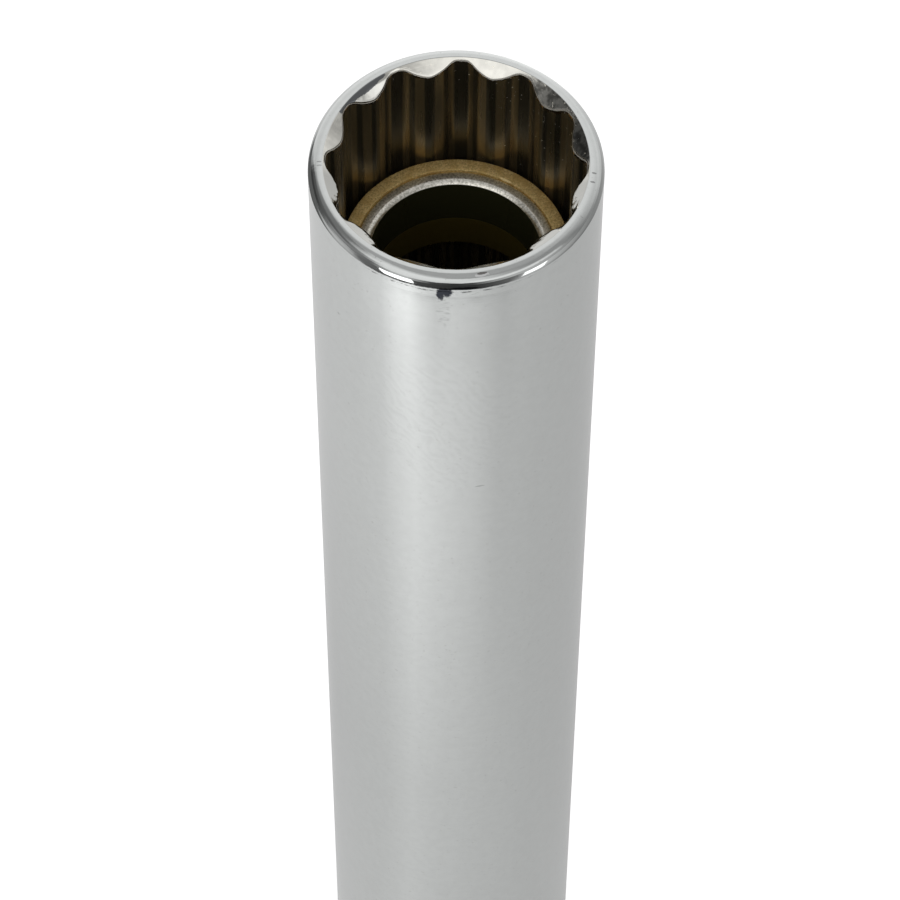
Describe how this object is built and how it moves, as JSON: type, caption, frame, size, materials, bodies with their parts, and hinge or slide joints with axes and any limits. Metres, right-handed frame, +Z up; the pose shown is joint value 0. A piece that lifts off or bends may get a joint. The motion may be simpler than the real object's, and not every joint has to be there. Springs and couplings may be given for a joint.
{
  "type": "spark plug socket",
  "caption": "Deep thin-wall chrome spark plug socket with a double-hexagon recess, a brass sleeve and a ring magnet that holds the plug.",
  "frame": {"origin": "centre of the drive-end face, which the socket stands on", "axes": "+Z up the axis to the open end; a corner of the 12-point recess lies on +Y and the flats of the square drive hole face X and Y"},
  "size_m": [0.0182, 0.0182, 0.1],
  "materials": {
    "chrome_plate": "satin-bright chrome plate outside, bare dark broached steel in the recess",
    "sleeve_brass": "turned, dull",
    "magnet_nickel": "nickel plated, satin"
  },
  "bodies": {
    "root": {"socket_body": "chrome_plate", "magnet_sleeve": "sleeve_brass", "ring_magnet": "magnet_nickel"}
  },
  "joints": []
}
